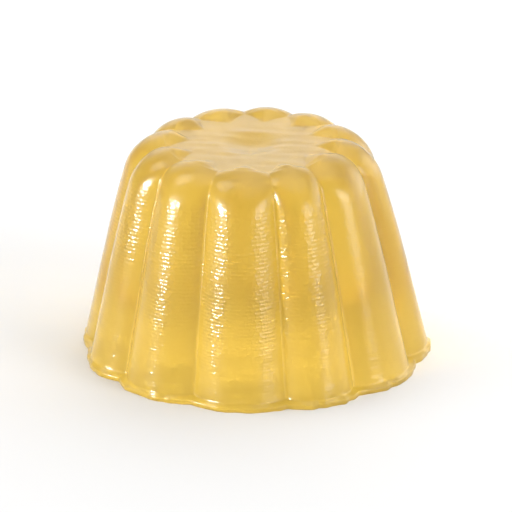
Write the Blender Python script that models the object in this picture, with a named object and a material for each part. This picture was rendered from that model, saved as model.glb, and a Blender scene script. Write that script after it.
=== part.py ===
"""A moulded jelly, as it stands after being turned out of a one-pint fluted mould.

One closed solid.  Its wall tapers upwards in twelve rounded flutes, which bend over at
the shoulder and run in across the top, so that the level top between them is a star.
A round dish is pressed into the middle of the star.  At the foot a thin lip stands
proud of the wall, where the mix had crept over the rim of the mould.

Metres, +Z up.  The base lies on z = 0, centred on the origin.  Angles are measured
from -Y towards +X.
"""

import math

import bmesh
import bpy

# Wall.
CREST_RADIUS = 0.0597
GROOVE_DEPTH = 0.0057
CREST_TAPER = 0.244
GROOVE_TAPER = 0.238
WALL_BELLY = 0.0004
WALL_BELLY_TOP = 0.0657

# Shoulder and top.  A crest's wall and crown would meet at CORNER_HEIGHT if the shoulder
# did not round them off.  The crown rises to CROWN_HEIGHT, then falls to the star.  The star
# reaches in to STAR_RADIUS at the crests, and out to STAR_POINT_RADIUS at the grooves.
CORNER_HEIGHT = 0.0735
CROWN_HEIGHT = 0.0764
CROWN_RADIUS = 0.0287
CREST_SHOULDER_RADIUS = 0.0179
GROOVE_SHOULDER_RADIUS = 0.0090
STAR_HEIGHT = 0.0740
STAR_RADIUS = 0.0223
STAR_POINT_RADIUS = 0.0285

# Dish in the middle of the star.
DISH_RADIUS = 0.0125
DISH_DEPTH = 0.0018

# Lip round the foot.  It stands a little proud of the crests, and half fills the grooves.
LIP_HEIGHT = 0.0025
LIP_PROUD = 0.0007
LIP_GROOVE_DEPTH = 0.0031
LIP_ROUNDING = 0.0006

# Flutes, each as many degrees wide as the mould and the handling left it.
FIRST_GROOVE_DEG = -205.0
FLUTE_SPANS_DEG = (30, 33, 26, 32, 29, 32, 34, 27, 34, 27, 27, 29)
LEAN = -0.018

# Fineness of the mesh.
COLUMNS_PER_FLUTE = 10
WALL_ROWS = 8
SHOULDER_ROWS = 9
CROWN_ROWS = 6
STAR_ROWS = 2
DISH_ROWS = 5

JELLY_COLOUR = (0.74, 0.48, 0.09, 1.0)
JELLY_ROUGHNESS = 0.12
JELLY_IOR = 1.35
SHARP_FROM_DEG = 40.0


def between(start, end, share):
    """The point, or number, that lies a share of the way from start to end."""
    if isinstance(start, tuple):
        return tuple(between(a, b, share) for a, b in zip(start, end))
    return start + (end - start) * share


def shares(count):
    """Equal steps from just after 0 up to 1."""
    return [step / count for step in range(1, count + 1)]


def eased(share):
    """0 to 1 along half a cosine wave."""
    return (1.0 - math.cos(math.pi * share)) / 2.0


def belly(height):
    """How far the wall bows outwards: nothing at the foot and near the shoulder."""
    share = min(max(height / WALL_BELLY_TOP, 0.0), 1.0)
    return WALL_BELLY * 4.0 * share * (1.0 - share)


def shoulder_arc(foot, corner, inner, radius):
    """Rounds the corner between the wall foot-corner and the top corner-inner."""
    down = (foot[0] - corner[0], foot[1] - corner[1])
    inwards = (inner[0] - corner[0], inner[1] - corner[1])
    down_angle = math.atan2(down[1], down[0])
    inwards_angle = math.atan2(inwards[1], inwards[0]) % math.tau
    half = (down_angle % math.tau - inwards_angle) / 2.0
    reach = radius / math.sin(half)
    middle = inwards_angle + half
    centre = (corner[0] + reach * math.cos(middle), corner[1] + reach * math.sin(middle))
    first = down_angle + math.pi / 2.0
    last = inwards_angle - math.pi / 2.0
    arc = []
    for share in [0.0] + shares(SHOULDER_ROWS):
        angle = between(first, last, share)
        arc.append((centre[0] + radius * math.cos(angle), centre[1] + radius * math.sin(angle)))
    return arc


def wall_to_shoulder(foot_radius, taper, corner_height, inner, rounding):
    """A wall from the top of the lip to the shoulder, and the shoulder's arc."""
    foot = (foot_radius, 0.0)
    corner = (foot_radius - taper * corner_height, corner_height)
    arc = shoulder_arc(foot, corner, inner, rounding)
    rows = []
    for share in [0.0] + shares(WALL_ROWS):
        height = between(LIP_HEIGHT, arc[0][1], share)
        rows.append((foot_radius - taper * height + belly(height), height))
    return rows + arc[1:]


def crest_profile():
    """(radius, height) from the lip up over a crest and down onto the star."""
    inner = (CROWN_RADIUS, CROWN_HEIGHT)
    rows = wall_to_shoulder(
        CREST_RADIUS, CREST_TAPER, CORNER_HEIGHT, inner, CREST_SHOULDER_RADIUS
    )
    shoulder_end = rows[-1]
    for share in shares(CROWN_ROWS // 2):
        rows.append(between(shoulder_end, inner, share))
    for share in shares(CROWN_ROWS // 2):
        fall = (share**2 + eased(share)) / 2.0
        rows.append(
            (
                between(CROWN_RADIUS, STAR_RADIUS, share),
                between(CROWN_HEIGHT, STAR_HEIGHT, fall),
            )
        )
    return rows


def groove_profile():
    """(radius, height) from the lip up a groove and on to the star's point."""
    inner = (STAR_POINT_RADIUS, STAR_HEIGHT)
    rows = wall_to_shoulder(
        CREST_RADIUS - GROOVE_DEPTH, GROOVE_TAPER, STAR_HEIGHT, inner, GROOVE_SHOULDER_RADIUS
    )
    shoulder_end = rows[-1]
    for share in shares(CROWN_ROWS):
        rows.append(between(shoulder_end, inner, share))
    return rows


def lip_profile(outer):
    """(radius, height) up the outside of the lip, which stands out to this radius."""
    return [
        (0.0, 0.0),
        (outer - LIP_ROUNDING, 0.0),
        (outer, LIP_ROUNDING),
        (outer, LIP_HEIGHT - 2.0 * LIP_ROUNDING),
        (outer - LIP_ROUNDING, LIP_HEIGHT - LIP_ROUNDING),
    ]


def dish_profile(star_edge):
    """(radius, height) in across the star and down into the dish, to the axis."""
    rows = []
    for share in shares(STAR_ROWS):
        rows.append((between(star_edge, DISH_RADIUS, share), STAR_HEIGHT))
    for share in shares(DISH_ROWS):
        rows.append((DISH_RADIUS * (1.0 - share), STAR_HEIGHT - DISH_DEPTH * eased(share)))
    return rows


def paired_rows():
    """Each row of the body as a point in a groove and a point on a crest."""
    groove_lip = lip_profile(CREST_RADIUS + LIP_PROUD - LIP_GROOVE_DEPTH)
    crest_lip = lip_profile(CREST_RADIUS + LIP_PROUD)
    groove = groove_lip + groove_profile() + dish_profile(STAR_POINT_RADIUS)
    crest = crest_lip + crest_profile() + dish_profile(STAR_RADIUS)
    return list(zip(groove, crest))


def arc_share(offset, half_span):
    """How far a flute stands out at an offset, -1 to 1, from its crest: 0 in the grooves.

    In a level section a flute is an arc of a circle through its crest and its two
    grooves.  The section is taken half-way up the wall, and serves for every height.
    """
    height = STAR_HEIGHT / 2.0
    crest = CREST_RADIUS - CREST_TAPER * height
    groove = CREST_RADIUS - GROOVE_DEPTH - GROOVE_TAPER * height
    centre = (crest**2 - groove**2) / (2.0 * (crest - groove * math.cos(half_span)))
    arc_radius = crest - centre
    turn = offset * half_span
    out = centre * math.cos(turn) + math.sqrt(arc_radius**2 - (centre * math.sin(turn)) ** 2)
    return (out - groove) / (crest - groove)


def flute_at(turn):
    """The true angle at an even turn, and how far the flute stands out there, 0 to 1."""
    flute, across = divmod(turn * len(FLUTE_SPANS_DEG) / math.tau, 1.0)
    flute = int(flute) % len(FLUTE_SPANS_DEG)
    half_span = math.radians(FLUTE_SPANS_DEG[flute]) / 2.0
    groove_deg = FIRST_GROOVE_DEG + sum(FLUTE_SPANS_DEG[:flute])
    angle = math.radians(groove_deg) + 2.0 * half_span * across
    return angle, arc_share(2.0 * across - 1.0, half_span)


def turned_blank(profile, columns):
    """A crest profile turned once round +Z.  Each point keeps its row's number."""
    blank = bmesh.new()
    row_number = blank.verts.layers.int.new("row")
    points = []
    for number, (radius, height) in enumerate(profile):
        point = blank.verts.new((0.0, -radius, height))
        point[row_number] = number
        points.append(point)
    edges = [blank.edges.new(pair) for pair in zip(points, points[1:])]
    bmesh.ops.spin(
        blank,
        geom=points + edges,
        cent=(0.0, 0.0, 0.0),
        axis=(0.0, 0.0, 1.0),
        angle=math.tau,
        steps=columns,
        use_merge=True,
    )
    bmesh.ops.remove_doubles(blank, verts=blank.verts, dist=1e-6)
    return blank, row_number


def press_flutes(blank, row_number, rows):
    """Moves each point of the blank to its place between groove and crest."""
    for point in blank.verts:
        groove, crest = rows[point[row_number]]
        turn = math.atan2(point.co.x, -point.co.y) % math.tau
        angle, lobe = flute_at(turn)
        radius, height = between(groove, crest, lobe)
        point.co.x = radius * math.sin(angle) + LEAN * height
        point.co.y = -radius * math.cos(angle)
        point.co.z = height


def jelly_mesh():
    rows = paired_rows()
    blank, row_number = turned_blank(
        [crest for _, crest in rows], COLUMNS_PER_FLUTE * len(FLUTE_SPANS_DEG)
    )
    press_flutes(blank, row_number, rows)
    blank.verts.layers.int.remove(row_number)
    bmesh.ops.recalc_face_normals(blank, faces=blank.faces)
    mesh = bpy.data.meshes.new("jelly")
    blank.to_mesh(mesh)
    blank.free()
    mesh.shade_smooth()
    mesh.set_sharp_from_angle(angle=math.radians(SHARP_FROM_DEG))
    return mesh


def jelly_material():
    material = bpy.data.materials.new("jelly")
    material.use_nodes = True
    shader = material.node_tree.nodes["Principled BSDF"]
    shader.inputs["Base Color"].default_value = JELLY_COLOUR
    shader.inputs["Roughness"].default_value = JELLY_ROUGHNESS
    shader.inputs["Metallic"].default_value = 0.0
    shader.inputs["IOR"].default_value = JELLY_IOR
    shader.inputs["Transmission Weight"].default_value = 1.0
    material.diffuse_color = JELLY_COLOUR
    return material


def build():
    for old in list(bpy.data.objects):
        bpy.data.objects.remove(old, do_unlink=True)
    parts = bpy.data.collections.new("moulded_jelly")
    bpy.context.scene.collection.children.link(parts)
    jelly = bpy.data.objects.new("jelly", jelly_mesh())
    jelly.data.materials.append(jelly_material())
    parts.objects.link(jelly)


build()
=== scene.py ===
import math

import bpy
import numpy as np
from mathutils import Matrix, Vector


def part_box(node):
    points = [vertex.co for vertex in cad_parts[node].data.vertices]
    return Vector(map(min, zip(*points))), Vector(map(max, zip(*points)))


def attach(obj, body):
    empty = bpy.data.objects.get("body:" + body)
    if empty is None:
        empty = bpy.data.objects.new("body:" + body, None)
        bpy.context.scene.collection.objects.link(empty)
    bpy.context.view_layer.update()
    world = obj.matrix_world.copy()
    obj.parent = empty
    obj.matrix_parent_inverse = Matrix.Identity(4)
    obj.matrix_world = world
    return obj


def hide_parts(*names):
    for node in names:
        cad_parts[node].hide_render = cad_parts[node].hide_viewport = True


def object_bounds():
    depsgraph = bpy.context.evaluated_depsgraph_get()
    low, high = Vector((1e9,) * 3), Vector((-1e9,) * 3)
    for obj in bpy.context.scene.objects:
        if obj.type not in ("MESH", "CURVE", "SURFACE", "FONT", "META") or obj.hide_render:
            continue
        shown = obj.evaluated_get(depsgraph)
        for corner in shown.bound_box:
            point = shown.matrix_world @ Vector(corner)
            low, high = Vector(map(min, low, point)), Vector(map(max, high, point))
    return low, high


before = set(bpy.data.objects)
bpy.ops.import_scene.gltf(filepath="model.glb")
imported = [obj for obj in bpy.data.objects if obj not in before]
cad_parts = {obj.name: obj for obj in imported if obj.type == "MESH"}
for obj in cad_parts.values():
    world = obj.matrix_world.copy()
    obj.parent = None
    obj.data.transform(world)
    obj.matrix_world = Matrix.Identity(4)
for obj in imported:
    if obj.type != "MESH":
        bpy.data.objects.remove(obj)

scene = bpy.context.scene
solid_low, solid_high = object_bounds()


# ---------------------------------------------------------------------------------------
# The jelly.  Clear yellow gelatine, set in a mould with twelve flutes and turned out in one
# piece: a tapering fluted wall, flutes that bend over on to the top, a level star with a
# shallow round dish, and a thin skirt at the foot, where the mix seems to have crept out.

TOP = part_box("jelly")[1].z

# The wall.  Radii are at the foot and in metres; the tapers and the lean are metres across
# for each metre of height.  The belly bows the wall outwards, most at two thirds of the way
# up, where share squared times (1 - share) comes to 4/27.
CREST_RADIUS = 0.0597
GROOVE_DEPTH = 0.0057
CREST_TAPER = 0.244
GROOVE_TAPER = 0.238
WALL_BELLY = 0.0005
BELLY_SCALE = 27.0 / 4.0
LEAN = -0.018

# The shoulder, the crown of each flute, the star between the crowns, and the dish.
CORNER_HEIGHT = TOP - 0.0029
CROWN_HEIGHT = TOP - 0.0003
CROWN_RADIUS = 0.0287
CREST_SHOULDER_RADIUS = 0.0179
GROOVE_SHOULDER_RADIUS = 0.0090
STAR_HEIGHT = TOP - 0.0024
STAR_RADIUS = 0.0208
STAR_POINT_RADIUS = 0.0272
DISH_RADIUS = 0.0125
DISH_DEPTH = 0.0018

# The skirt at the foot.  Its ledge slopes up to the wall, and its edge is ragged.
LIP_HEIGHT = 0.0025
LIP_PROUD = 0.0004
LIP_GROOVE_DEPTH = 0.0031
LIP_ROUNDING = 0.0004
LEDGE_RISE = 0.0007
LIP_SWELL = 0.0003
LIP_SWELL_SIZE = 0.016
LIP_WOBBLE = 0.0003
LIP_WOBBLE_SIZE = 0.005
LIP_LIMIT = 0.0003
SKIRT_FADES_OVER = (0.002, 0.004)
SKIRT_FALL_INWARDS = 8

# The flutes' widths, round from the first groove, and the rows and columns of the mesh.
FIRST_GROOVE_DEG = -205.0
FLUTE_SPANS_DEG = (30, 33, 26, 32, 29, 32, 34, 27, 34, 27, 27, 29)
COLUMNS_PER_FLUTE = 36
BASE_ROWS = 6
LEDGE_ROWS = 6
WALL_ROWS = 100
SHOULDER_ROWS = 36
CROWN_ROWS = 24
STAR_ROWS = 12
DISH_ROWS = 20

# How uneven the skin is, in metres: slow waves on the wall, and folds on the top that are
# strongest inside the star.
WAVE_COUNT = 24
WAVE_SPREAD = (0.7, 1.4)
WALL_SWELL = 0.00003
WALL_SWELL_SIZE = 0.016
WALL_WOBBLE = 0.00002
WALL_WOBBLE_SIZE = 0.007
WALL_EVEN_OVER = (0.0015, 0.006)
TOP_STARTS_OVER = (STAR_HEIGHT - 0.004, STAR_HEIGHT - 0.001)
FOLD_DEPTH = 0.00006
FOLD_SIZE = 0.0055
FOLD_STRETCH = (0.7, 1.0, 1.0)
FOLDS_FADE_OVER = (0.014, 0.030)
FOLDS_LEFT = 0.3

# How softly the flutes' ends run into the grooves, on the shoulder and across the crowns.
SHOULDER_SOFTNESS = 0.08
CROWN_SOFTENING = 0.6

# Stands in for a length of nothing, at the two ends of the skin, where it divides.
TINY = 1e-12


def eased(share):
    """0 to 1 along half a cosine wave."""
    return (1.0 - math.cos(math.pi * share)) / 2.0


def steps(start, end, count):
    """Points after start, up to and with end, on a straight line."""
    shares = np.arange(1, count + 1)[:, None] / count
    return np.asarray(start) + (np.asarray(end) - np.asarray(start)) * shares


def rounded_corner(foot, corner, inner, radius, count):
    """The arc of this radius that rounds off the corner between foot and inner."""
    foot, corner, inner = (np.asarray(point) for point in (foot, corner, inner))
    down = (foot - corner) / np.linalg.norm(foot - corner)
    across = (inner - corner) / np.linalg.norm(inner - corner)
    half = math.acos(float(down @ across)) / 2.0
    middle = (down + across) / np.linalg.norm(down + across)
    centre = corner + middle * radius / math.sin(half)
    first = corner + down * radius / math.tan(half) - centre
    turn = -(math.pi - 2.0 * half)
    start = math.atan2(first[1], first[0])
    angles = start - turn * np.arange(count + 1) / count
    return centre + radius * np.stack([np.cos(angles), np.sin(angles)], axis=1)


def wall_and_shoulder(foot_radius, taper, corner_height, inner, radius):
    """(radius, height) from the top of the skirt to the inner end of the shoulder."""
    corner = (foot_radius - taper * corner_height, corner_height)
    arc = rounded_corner((foot_radius, 0.0), corner, inner, radius, SHOULDER_ROWS)
    heights = np.linspace(LIP_HEIGHT, arc[0, 1], WALL_ROWS + 1)
    share = heights / arc[0, 1]
    radii = foot_radius - taper * heights + BELLY_SCALE * WALL_BELLY * share**2 * (1.0 - share)
    return np.vstack([np.stack([radii, heights], axis=1), arc[1:]])


def skirt(outer, wall):
    """(radius, height) from the middle of the base, out and up over the skirt to the wall."""
    base = steps((0.0, 0.0), (outer - LIP_ROUNDING, 0.0), BASE_ROWS)
    face = [(outer - 0.3 * LIP_ROUNDING, 0.3 * LIP_ROUNDING), (outer, LIP_ROUNDING)]
    edge = LIP_HEIGHT - LEDGE_RISE
    rim = [
        (outer - 0.1 * LIP_ROUNDING, edge - LIP_ROUNDING),
        (outer - 0.4 * LIP_ROUNDING, edge - 0.3 * LIP_ROUNDING),
        (outer - LIP_ROUNDING, edge),
    ]
    ledge_end = (wall + LIP_ROUNDING, LIP_HEIGHT - 0.4 * LIP_ROUNDING)
    ledge = steps(rim[-1], ledge_end, LEDGE_ROWS)
    return np.vstack([[(0.0, 0.0)], base, face, rim, ledge])


def top_rows(outer):
    """(radius, height) in across the star and down into the dish."""
    star = steps((outer, STAR_HEIGHT), (DISH_RADIUS, STAR_HEIGHT), STAR_ROWS)
    dish = []
    for share in np.arange(1, DISH_ROWS + 1) / DISH_ROWS:
        dish.append((DISH_RADIUS * (1.0 - share), STAR_HEIGHT - DISH_DEPTH * eased(share)))
    return np.vstack([star, dish])


def groove_profile():
    """(radius, height) up a groove, from the middle of the base to the middle of the dish."""
    inner = (STAR_POINT_RADIUS, STAR_HEIGHT)
    wall = wall_and_shoulder(
        CREST_RADIUS - GROOVE_DEPTH, GROOVE_TAPER, STAR_HEIGHT, inner, GROOVE_SHOULDER_RADIUS
    )
    crown = steps(wall[-1], inner, CROWN_ROWS)
    foot = skirt(CREST_RADIUS + LIP_PROUD - LIP_GROOVE_DEPTH, wall[0, 0])
    return np.vstack([foot, wall, crown, top_rows(STAR_POINT_RADIUS)])


def crest_profile():
    """The same over a crest, whose crown rises above the star and then falls to it."""
    inner = (CROWN_RADIUS, CROWN_HEIGHT)
    wall = wall_and_shoulder(
        CREST_RADIUS, CREST_TAPER, CORNER_HEIGHT, inner, CREST_SHOULDER_RADIUS
    )
    crown = steps(wall[-1], inner, CROWN_ROWS // 2)
    fall = []
    for share in np.arange(1, CROWN_ROWS // 2 + 1) / (CROWN_ROWS // 2):
        radius = CROWN_RADIUS + (STAR_RADIUS - CROWN_RADIUS) * share
        drop = eased(share)
        fall.append((radius, CROWN_HEIGHT + (STAR_HEIGHT - CROWN_HEIGHT) * drop))
    foot = skirt(CREST_RADIUS + LIP_PROUD, wall[0, 0])
    return np.vstack([foot, wall, crown, fall, top_rows(STAR_RADIUS)])


def flute_columns():
    """The angle of each column, and two measures, 0 to 1, of how far a flute stands out there.

    On the wall a flute's level section is an arc of a circle through its crest and its two
    grooves.  On the top it is a wave, which runs softly into the grooves.
    """
    height = STAR_HEIGHT / 2.0
    crest = CREST_RADIUS - CREST_TAPER * height
    groove = CREST_RADIUS - GROOVE_DEPTH - GROOVE_TAPER * height
    angles = []
    lobes = []
    waves = []
    groove_angle = math.radians(FIRST_GROOVE_DEG)
    for span in np.radians(FLUTE_SPANS_DEG):
        offset = (np.arange(COLUMNS_PER_FLUTE) / COLUMNS_PER_FLUTE - 0.5) * span
        centre = (crest**2 - groove**2) / (2.0 * (crest - groove * math.cos(span / 2.0)))
        arc_radius = crest - centre
        out = centre * np.cos(offset) + np.sqrt(arc_radius**2 - (centre * np.sin(offset)) ** 2)
        angles.append(groove_angle + span / 2.0 + offset)
        lobes.append((out - groove) / (crest - groove))
        waves.append((1.0 + np.cos(math.tau * offset / span)) / 2.0)
        groove_angle += span
    lobes = np.clip(np.concatenate(lobes), 0.0, 1.0)
    return np.concatenate(angles), lobes, np.concatenate(waves)


def closed_skin(name, rings):
    """A closed mesh from rings of points; the first and last ring are single points."""
    row_count, column_count = rings.shape[:2]
    body = rings[1:-1].reshape(-1, 3)
    points = np.vstack([rings[0, :1], body, rings[-1, :1]])
    neighbours = [(column, (column + 1) % column_count) for column in range(column_count)]
    faces = []
    for column, after in neighbours:
        faces.append((0, 1 + after, 1 + column))
    for row in range(row_count - 3):
        low = 1 + row * column_count
        high = low + column_count
        for column, after in neighbours:
            faces.append((low + column, low + after, high + after, high + column))
    last = len(points) - 1
    top = last - column_count
    for column, after in neighbours:
        faces.append((top + column, top + after, last))
    mesh = bpy.data.meshes.new(name)
    mesh.from_pydata(points.tolist(), [], faces)
    mesh.validate()
    mesh.shade_smooth()
    return mesh


def slow_waves(points, size, seed):
    """A smooth random value for each point, mostly within 1 of zero; size is its wavelength."""
    draw = np.random.RandomState(seed)
    total = np.zeros(points.shape[:-1])
    for _ in range(WAVE_COUNT):
        direction = draw.normal(size=3)
        direction *= draw.uniform(*WAVE_SPREAD) / (size * np.linalg.norm(direction))
        total += np.cos(math.tau * (points @ direction + draw.uniform()))
    return total * math.sqrt(1.0 / WAVE_COUNT)


def between_heights(height, low, high):
    """0 below low, 1 above high, and a smooth rise between them."""
    share = np.clip((height - low) / (high - low), 0.0, 1.0)
    return share**2 * (3.0 - 2.0 * share)


def outwards(rings):
    """The unit normal at each point of the rings."""
    along = np.gradient(rings, axis=0)
    around = np.roll(rings, -1, axis=1) - np.roll(rings, 1, axis=1)
    normals = np.cross(around, along)
    lengths = np.linalg.norm(normals, axis=-1, keepdims=True)
    return normals / np.maximum(lengths, TINY)


def unevenness(rings):
    """How far each point of the skin stands out from the mould's true form."""
    height = rings[..., 2]
    radius = np.hypot(rings[..., 0], rings[..., 1])
    off_the_base = between_heights(height, *WALL_EVEN_OVER)
    on_top = between_heights(height, *TOP_STARTS_OVER)
    swell = WALL_SWELL * slow_waves(rings, WALL_SWELL_SIZE, seed=1)
    wobble = WALL_WOBBLE * slow_waves(rings, WALL_WOBBLE_SIZE, seed=2)
    inside = 1.0 - between_heights(radius, *FOLDS_FADE_OVER)
    folds = FOLD_DEPTH * slow_waves(rings * FOLD_STRETCH, FOLD_SIZE, seed=3)
    folds = folds * (FOLDS_LEFT + (1.0 - FOLDS_LEFT) * inside)
    return off_the_base * (1.0 - on_top) * (swell + wobble) + on_top * folds


def jelly_mesh():
    """The whole skin.  Each row of points runs in and out between its groove and its crest."""
    groove = groove_profile()
    crest = crest_profile()
    angles, lobes, waves = flute_columns()
    row_count = len(crest)
    top_count = STAR_ROWS + DISH_ROWS
    softness = np.zeros(row_count)
    crown_end = row_count - top_count
    shoulder_end = crown_end - CROWN_ROWS
    shoulder_start = shoulder_end - SHOULDER_ROWS
    softness[shoulder_start:shoulder_end] = np.linspace(0.0, SHOULDER_SOFTNESS, SHOULDER_ROWS)
    crown_share = np.linspace(0.0, 1.0, CROWN_ROWS) ** CROWN_SOFTENING
    softness[shoulder_end:crown_end] = SHOULDER_SOFTNESS + (1.0 - SHOULDER_SOFTNESS) * crown_share
    softness[crown_end:] = 1.0
    stand_out = lobes + (waves - lobes) * softness[:, None]
    rows = groove[:, None, :] + (crest - groove)[:, None, :] * stand_out[..., None]
    radius = rows[..., 0]
    height = rows[..., 1]
    skirt_share = 1.0 - between_heights(height, *SKIRT_FADES_OVER)
    skirt_share = skirt_share * (radius / CREST_RADIUS) ** SKIRT_FALL_INWARDS
    around = np.stack([np.sin(angles), np.cos(angles), 0.0 * angles], axis=-1) * CREST_RADIUS
    ragged = LIP_SWELL * slow_waves(around, LIP_SWELL_SIZE, seed=4)
    ragged = ragged + LIP_WOBBLE * slow_waves(around, LIP_WOBBLE_SIZE, seed=5)
    radius = radius + skirt_share * (ragged - LIP_WOBBLE)
    radius = np.minimum(radius, CREST_RADIUS + LIP_LIMIT)
    rings = np.stack(
        [
            radius * np.sin(angles) + LEAN * height,
            -radius * np.cos(angles),
            height,
        ],
        axis=-1,
    )
    rings = rings + outwards(rings) * unevenness(rings)[..., None]
    rings[..., 2] = np.minimum(rings[..., 2], TOP)
    return closed_skin("jelly_skin", rings)


MILLIMETRE = 0.001

# The gel: its tint, how soft and how clear it looks, how it darkens with depth, and how wet
# and smooth its skin is.
GELATINE_COLOUR = (0.762, 0.516, 0.0705, 1.0)
GELATINE_ROUGHNESS = 0.28
GELATINE_IOR = 1.35
CLEARNESS = 0.9
DEPTH_COLOUR = (0.80, 0.58, 0.05, 1.0)
DEPTH_DENSITY = 2.0
WET_SKIN = 0.6
WET_ROUGHNESS = 0.03

# Fine relief of the skin.  Sizes, heights and places are in millimetres, levels are shares.
RIPPLES_PER_MM = 0.95
RIPPLES_LOST_PER_MM = 0.0016
RIPPLE_DEPTH = 0.030
RIPPLE_WANDER = 2.2
WANDER_SIZE = 4.5
FADE_AT_TOP = (63.0, 69.0)
FADE_AT_FOOT = (8.0, 34.0)
LEFT_AT_FOOT = 0.25
PATCH_SIZE = 6.0
PATCH_RANGE = (-0.5, 0.3)
PATCH_LEVEL = 0.75
SMOOTHER_TO_RIGHT = (14.0, 34.0)
SMOOTHER_TO_LEFT = (-42.0, -35.0)
SMOOTHER_BELOW = (34.0, 46.0)
SMOOTH_SIDE = 0.25
DIMPLE_SIZE = 1.35
DIMPLE_RANDOMNESS = 0.8
DIMPLE_DEPTH = 0.18
FINE_DETAIL = 3.0
FOOT_WAVE_SIZE = 3.0
FOOT_WAVE_STRETCH = (0.4, 0.4, 1.9)
FOOT_WAVE_DEPTH = 0.10
FOOT_WAVE_TOP = (13.0, 27.0)
GRAIN_SIZE = 1.1
GRAIN_DEPTH = 0.022
SKIN_FOLD_SIZE = 5.5
SKIN_FOLD_STRETCH = (0.7, 1.3, 1.0)
SKIN_FOLD_DEPTH = 0.08
SKIN_FOLD_FROM = (70.0, 73.0)
BODY_RELIEF = 0.5


def math_node(tree, operation, first, second, third=None):
    """A Math node on sockets or plain numbers; returns its result socket."""
    node = tree.nodes.new("ShaderNodeMath")
    node.operation = operation
    for socket, value in zip(node.inputs, (first, second, third)):
        if isinstance(value, bpy.types.NodeSocket):
            tree.links.new(value, socket)
        elif value is not None:
            socket.default_value = value
    return node.outputs["Value"]


def rise_and_fall(tree, value, low, high, low_level=0.0, high_level=1.0):
    """A smooth step between two levels as the value goes from low to high."""
    node = tree.nodes.new("ShaderNodeMapRange")
    node.interpolation_type = "SMOOTHSTEP"
    tree.links.new(value, node.inputs["Value"])
    node.inputs["From Min"].default_value = low
    node.inputs["From Max"].default_value = high
    node.inputs["To Min"].default_value = low_level
    node.inputs["To Max"].default_value = high_level
    return node.outputs["Result"]


def cloudiness(tree, place, size_mm, detail=2.0, stretch=(1.0, 1.0, 1.0)):
    """Noise between -1 and 1 whose lumps are about this many millimetres across."""
    fit = tree.nodes.new("ShaderNodeMapping")
    fit.inputs["Scale"].default_value = tuple(share / size_mm for share in stretch)
    tree.links.new(place, fit.inputs["Vector"])
    noise = tree.nodes.new("ShaderNodeTexNoise")
    noise.inputs["Scale"].default_value = 1.0
    noise.inputs["Detail"].default_value = detail
    tree.links.new(fit.outputs["Vector"], noise.inputs["Vector"])
    return math_node(tree, "MULTIPLY_ADD", noise.outputs["Fac"], 2.0, -1.0)


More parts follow.
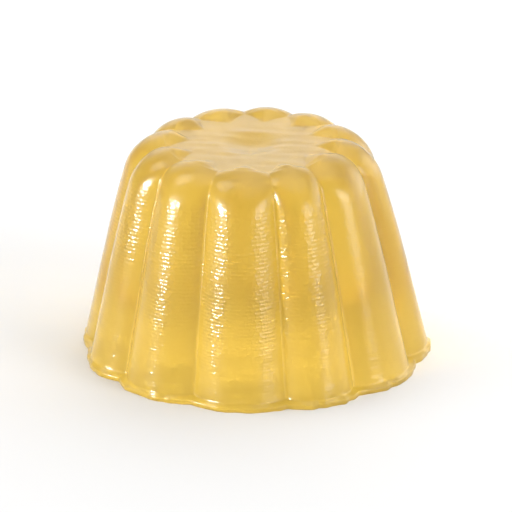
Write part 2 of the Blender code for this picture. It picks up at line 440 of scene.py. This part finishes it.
def mould_relief(tree):
    """The skin's fine relief, in millimetres of height, as one socket."""
    coordinates = tree.nodes.new("ShaderNodeTexCoord")
    millimetres = tree.nodes.new("ShaderNodeVectorMath")
    millimetres.operation = "SCALE"
    millimetres.inputs["Scale"].default_value = 1.0 / MILLIMETRE
    tree.links.new(coordinates.outputs["Object"], millimetres.inputs[0])
    place = millimetres.outputs["Vector"]
    axes = tree.nodes.new("ShaderNodeSeparateXYZ")
    tree.links.new(place, axes.inputs["Vector"])
    height = axes.outputs["Z"]

    # Ripples run level round the wall, a little over a millimetre apart, wider higher up.
    turns = math_node(tree, "MULTIPLY_ADD", height, -RIPPLES_LOST_PER_MM, RIPPLES_PER_MM)
    turns = math_node(tree, "MULTIPLY", turns, height)
    wander = math_node(tree, "MULTIPLY", cloudiness(tree, place, WANDER_SIZE), RIPPLE_WANDER)
    phase = math_node(tree, "MULTIPLY_ADD", turns, math.tau, wander)
    ripples = math_node(tree, "SINE", phase, None)
    fade_top = rise_and_fall(tree, height, *FADE_AT_TOP, 1.0, 0.0)
    fade_foot = rise_and_fall(tree, height, *FADE_AT_FOOT, LEFT_AT_FOOT, 1.0)
    strength = math_node(tree, "MULTIPLY", fade_top, fade_foot)
    patches = cloudiness(tree, place, PATCH_SIZE)
    patchy = rise_and_fall(tree, patches, *PATCH_RANGE, PATCH_LEVEL, 1.0)
    strength = math_node(tree, "MULTIPLY", strength, patchy)

    # The ripples and dimples are fainter on the right, and low down on the left.
    side = axes.outputs["X"]
    smoother_right = rise_and_fall(tree, side, *SMOOTHER_TO_RIGHT, 1.0, SMOOTH_SIDE)
    strength = math_node(tree, "MULTIPLY", strength, smoother_right)
    low = rise_and_fall(tree, height, *SMOOTHER_BELOW, 1.0, 0.0)
    smoother_left = rise_and_fall(tree, side, *SMOOTHER_TO_LEFT, SMOOTH_SIDE - 1.0, 0.0)
    smoother_left = math_node(tree, "MULTIPLY_ADD", smoother_left, low, 1.0)
    strength = math_node(tree, "MULTIPLY", strength, smoother_left)
    relief = math_node(tree, "MULTIPLY", ripples, strength)
    relief = math_node(tree, "MULTIPLY", relief, RIPPLE_DEPTH)

    # Shallow dimples a little over a millimetre across, with crisp ridges between them.
    cells = tree.nodes.new("ShaderNodeTexVoronoi")
    cells.feature = "F1"
    cells.inputs["Scale"].default_value = 1.0 / DIMPLE_SIZE
    cells.inputs["Randomness"].default_value = DIMPLE_RANDOMNESS
    tree.links.new(place, cells.inputs["Vector"])
    bowls = math_node(tree, "POWER", cells.outputs["Distance"], 2.0)
    bowls = math_node(tree, "MULTIPLY", bowls, strength)
    relief = math_node(tree, "MULTIPLY_ADD", bowls, DIMPLE_DEPTH, relief)

    # Low waves lie round the foot, where the mix set against the rim of the mould.
    waves = cloudiness(tree, place, FOOT_WAVE_SIZE, FINE_DETAIL, FOOT_WAVE_STRETCH)
    at_foot = rise_and_fall(tree, height, *FOOT_WAVE_TOP, FOOT_WAVE_DEPTH, 0.0)
    relief = math_node(tree, "MULTIPLY_ADD", waves, at_foot, relief)

    # A finer grain all over.
    grain = cloudiness(tree, place, GRAIN_SIZE, FINE_DETAIL)
    relief = math_node(tree, "MULTIPLY_ADD", grain, GRAIN_DEPTH, relief)

    # The top skin has set in long, low folds.
    folds = cloudiness(tree, place, SKIN_FOLD_SIZE, FINE_DETAIL, SKIN_FOLD_STRETCH)
    on_top = rise_and_fall(tree, height, *SKIN_FOLD_FROM, 0.0, SKIN_FOLD_DEPTH)
    return math_node(tree, "MULTIPLY_ADD", folds, on_top, relief)


def clear_gelatine():
    """Tinted, slightly cloudy gel under a wet skin.  The relief shows most in the skin."""
    material = bpy.data.materials.new("clear_gelatine")
    material.use_nodes = True
    nodes = material.node_tree.nodes
    links = material.node_tree.links
    relief = mould_relief(material.node_tree)
    bumps = []
    for strength in (BODY_RELIEF, 1.0):
        bump = nodes.new("ShaderNodeBump")
        bump.inputs["Strength"].default_value = strength
        bump.inputs["Distance"].default_value = MILLIMETRE
        links.new(relief, bump.inputs["Height"])
        bumps.append(bump)
    shader = nodes["Principled BSDF"]
    shader.inputs["Base Color"].default_value = GELATINE_COLOUR
    shader.inputs["Roughness"].default_value = GELATINE_ROUGHNESS
    shader.inputs["IOR"].default_value = GELATINE_IOR
    shader.inputs["Transmission Weight"].default_value = CLEARNESS
    shader.inputs["Coat Weight"].default_value = WET_SKIN
    shader.inputs["Coat Roughness"].default_value = WET_ROUGHNESS
    shader.inputs["Coat IOR"].default_value = GELATINE_IOR
    links.new(bumps[0].outputs["Normal"], shader.inputs["Normal"])
    links.new(bumps[1].outputs["Normal"], shader.inputs["Coat Normal"])
    depth = nodes.new("ShaderNodeVolumeAbsorption")
    depth.inputs["Color"].default_value = DEPTH_COLOUR
    depth.inputs["Density"].default_value = DEPTH_DENSITY
    links.new(depth.outputs["Volume"], nodes["Material Output"].inputs["Volume"])
    return material


jelly = bpy.data.objects.new("jelly_skin", jelly_mesh())
jelly.data.materials.append(clear_gelatine())
scene.collection.objects.link(jelly)
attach(jelly, "root")
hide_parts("jelly")


# ---------------------------------------------------------------------------------------
# The ground.  A white sheet, plain where it is bare, with painted light and shade under the
# jelly.  The jelly's wet base lies on it with no air between, so the sheet is a hair above the
# base.

GROUND_HEIGHT = 0.0001
GROUND_SIDE = 8.0
GROUND_LEVEL = 0.755
GROUND_ROUGHNESS = 0.9

# Under the jelly the sheet stands in for the uneven light that a real jelly passes down to
# it.  It is brightest in the middle, duller in a ring, and plain from the jelly's edge on.
PAINTED_LIGHT_MIDDLE_LEVEL = 0.865
PAINTED_LIGHT_RING_LEVEL = 0.79
RING_START = 0.026
RING_END = 0.034
COVERED_TO = 0.054
PLAIN_FROM = 0.060

# Painted patches of shade or light, where the ground under the jelly would be lit less, or
# more: centre x and y, reach, all in metres, and the share added.
PAINTED_LIGHT_PATCHES = (
    (0.044, 0.034, 0.060, -0.17),
    (0.060, 0.000, 0.022, -0.16),
    (-0.060, 0.008, 0.030, -0.20),
    (-0.040, -0.030, 0.046, -0.06),
    (0.042, -0.036, 0.036, 0.22),
)


def painted_light_patch(tree, place, x, y, reach, amount):
    """The painted light or shade at the patch's centre, falling smoothly to nothing at its reach.
    """
    away = tree.nodes.new("ShaderNodeVectorMath")
    away.operation = "DISTANCE"
    tree.links.new(place, away.inputs[0])
    away.inputs[1].default_value = (x, y, 0.0)
    return rise_and_fall(tree, away.outputs["Value"], 0.0, reach, amount, 0.0)


def ground_colour(tree):
    """The sheet's colour: plain where it is bare, and painted with light and shade under the
    jelly.
    """
    place = tree.nodes.new("ShaderNodeTexCoord").outputs["Object"]
    length = tree.nodes.new("ShaderNodeVectorMath")
    length.operation = "LENGTH"
    tree.links.new(place, length.inputs[0])
    distance = length.outputs["Value"]
    # Painted light under the jelly: brightest in the middle, duller in a ring.
    level = rise_and_fall(tree, distance, RING_START, RING_END, PAINTED_LIGHT_MIDDLE_LEVEL, PAINTED_LIGHT_RING_LEVEL)
    # Painted patches of light and shade under the jelly.
    under = 1.0
    for patch in PAINTED_LIGHT_PATCHES:
        under = math_node(tree, "ADD", painted_light_patch(tree, place, *patch), under)
    level = math_node(tree, "MULTIPLY", level, under)
    outside = rise_and_fall(tree, distance, COVERED_TO, PLAIN_FROM)
    step = math_node(tree, "SUBTRACT", GROUND_LEVEL, level)
    level = math_node(tree, "MULTIPLY_ADD", step, outside, level)
    colour = tree.nodes.new("ShaderNodeCombineColor")
    for channel in ("Red", "Green", "Blue"):
        tree.links.new(level, colour.inputs[channel])
    return colour.outputs["Color"]


def ground_sheet():
    """One broad, matt face."""
    half = GROUND_SIDE / 2.0
    corners = [(-half, -half, 0), (half, -half, 0), (half, half, 0), (-half, half, 0)]
    mesh = bpy.data.meshes.new("ground")
    mesh.from_pydata(corners, [], [(0, 1, 2, 3)])
    ground = bpy.data.objects.new("ground", mesh)
    ground.location.z = GROUND_HEIGHT
    material = bpy.data.materials.new("white_sheet")
    material.use_nodes = True
    tree = material.node_tree
    shader = tree.nodes["Principled BSDF"]
    tree.links.new(ground_colour(tree), shader.inputs["Base Color"])
    shader.inputs["Roughness"].default_value = GROUND_ROUGHNESS
    shader.inputs["Specular IOR Level"].default_value = 0.0
    mesh.materials.append(material)
    scene.collection.objects.link(ground)
    return ground


ground_sheet()


# ---------------------------------------------------------------------------------------
# The light.  A pale room with five soft glows in it, and two soft boxes.  The key box, in
# front and to the left, lights the jelly alone.  The ground box, above and behind, lights
# the sheet alone and keeps it white.

# Each glow is centred on an azimuth, from -Y towards +X, and an elevation.  It fades out at
# its reach, all in degrees.  The last number is what it adds to the room's level.
ROOM_LEVEL = 0.38
RIGHT_GLOW = (112.0, 5.0, 45.0, 2.5)
BACK_GLOW = (180.0, 28.0, 35.0, 1.1)
HIGH_GLOW = (120.0, 78.0, 42.0, 1.5)
FILL_GLOW = (54.0, 18.0, 22.0, 7.5)
LEFT_GLOW = (-106.0, 57.0, 20.0, 3.6)


def towards(azimuth, elevation):
    """The unit vector at an azimuth from -Y towards +X, and an elevation, in degrees."""
    azimuth = math.radians(azimuth)
    elevation = math.radians(elevation)
    return Vector(
        (
            math.cos(elevation) * math.sin(azimuth),
            -math.cos(elevation) * math.cos(azimuth),
            math.sin(elevation),
        )
    )


def glow(tree, place, azimuth, elevation, reach, brightness):
    """The brightness at the glow's centre, falling smoothly to nothing at its reach."""
    nearness = tree.nodes.new("ShaderNodeVectorMath")
    nearness.operation = "DOT_PRODUCT"
    tree.links.new(place, nearness.inputs[0])
    nearness.inputs[1].default_value = towards(azimuth, elevation)
    edge = math.cos(math.radians(reach))
    return rise_and_fall(tree, nearness.outputs["Value"], edge, 1.0, 0.0, brightness)


def pale_room():
    """White light from all round at the room's level, with the glows added."""
    world = bpy.data.worlds.new("pale_room")
    world.use_nodes = True
    tree = world.node_tree
    place = tree.nodes.new("ShaderNodeTexCoord").outputs["Generated"]
    light = ROOM_LEVEL
    for soft_light in (RIGHT_GLOW, BACK_GLOW, HIGH_GLOW, FILL_GLOW, LEFT_GLOW):
        light = math_node(tree, "ADD", glow(tree, place, *soft_light), light)
    background = tree.nodes["Background"]
    background.inputs["Color"].default_value = (1.0, 1.0, 1.0, 1.0)
    tree.links.new(light, background.inputs["Strength"])
    return world


scene.world = pale_room()


def soft_box(name, azimuth, elevation, distance, width, height, radiance, colour):
    """An oval area light that faces the jelly.  Azimuth runs from -Y towards +X."""
    light = bpy.data.lights.new(name, "AREA")
    light.shape = "ELLIPSE"
    light.size = width
    light.size_y = height
    light.energy = radiance * math.pi * width * height
    light.color = colour
    box = bpy.data.objects.new(name, light)
    out = towards(azimuth, elevation)
    box.location = Vector((0.0, 0.0, 0.5 * TOP)) + out * distance
    box.rotation_euler = out.to_track_quat("Z", "Y").to_euler()
    scene.collection.objects.link(box)
    return box


WHITE = (1.0, 1.0, 1.0)

KEY_AZIMUTH = -64.0
KEY_ELEVATION = 17.0
KEY_DISTANCE = 1.5
KEY_WIDTH = 0.50
KEY_HEIGHT = 0.50
KEY_RADIANCE = 58.0
KEY_LEAN = 15.0
key_box = soft_box(
    "key_box",
    KEY_AZIMUTH,
    KEY_ELEVATION,
    KEY_DISTANCE,
    KEY_WIDTH,
    KEY_HEIGHT,
    KEY_RADIANCE,
    WHITE,
)
key_box.rotation_euler.rotate_axis("Z", math.radians(KEY_LEAN))


def light_only(box, name, piece):
    """Lets the box light this piece alone."""
    lit = bpy.data.collections.new(name)
    lit.objects.link(piece)
    box.light_linking.receiver_collection = lit


light_only(key_box, "lit_by_key", jelly)

GROUND_BOX_AZIMUTH = 165.0
GROUND_BOX_ELEVATION = 40.0
GROUND_BOX_DISTANCE = 0.6
GROUND_BOX_WIDTH = 0.5
GROUND_BOX_HEIGHT = 0.5
GROUND_BOX_RADIANCE = 1.0
ground_box = soft_box(
    "ground_box",
    GROUND_BOX_AZIMUTH,
    GROUND_BOX_ELEVATION,
    GROUND_BOX_DISTANCE,
    GROUND_BOX_WIDTH,
    GROUND_BOX_HEIGHT,
    GROUND_BOX_RADIANCE,
    WHITE,
)
light_only(ground_box, "lit_by_ground_box", bpy.data.objects["ground"])


# ---------------------------------------------------------------------------------------
# The camera.  A long lens two metres off and a little above the jelly, so that the flutes
# stand nearly upright and the top is a narrow oval.  It is aimed just below the middle.

CAMERA_DISTANCE = 2.1207
CAMERA_ELEVATION = 21.734
SIGHTED_HEIGHT = 0.0368
AIM_BELOW_MIDDLE = 0.0053
LENS_MM = 437.1
SENSOR_MM = 36.0
FAR_LIMIT = 20.0

camera_data = bpy.data.cameras.new("camera")
camera_data.lens = LENS_MM
camera_data.sensor_width = SENSOR_MM
camera_data.clip_end = FAR_LIMIT
camera = bpy.data.objects.new("camera", camera_data)
middle = Vector((0.0, 0.0, (solid_low.z + solid_high.z) / 2.0))
tilt = math.radians(CAMERA_ELEVATION)
camera.location = Vector(
    (
        0.0,
        -CAMERA_DISTANCE * math.cos(tilt),
        SIGHTED_HEIGHT + CAMERA_DISTANCE * math.sin(tilt),
    )
)
aim = middle - Vector((0.0, 0.0, AIM_BELOW_MIDDLE)) - camera.location
camera.rotation_euler = aim.to_track_quat("-Z", "Y").to_euler()
scene.collection.objects.link(camera)
scene.camera = camera
scene.view_settings.view_transform = "Standard"
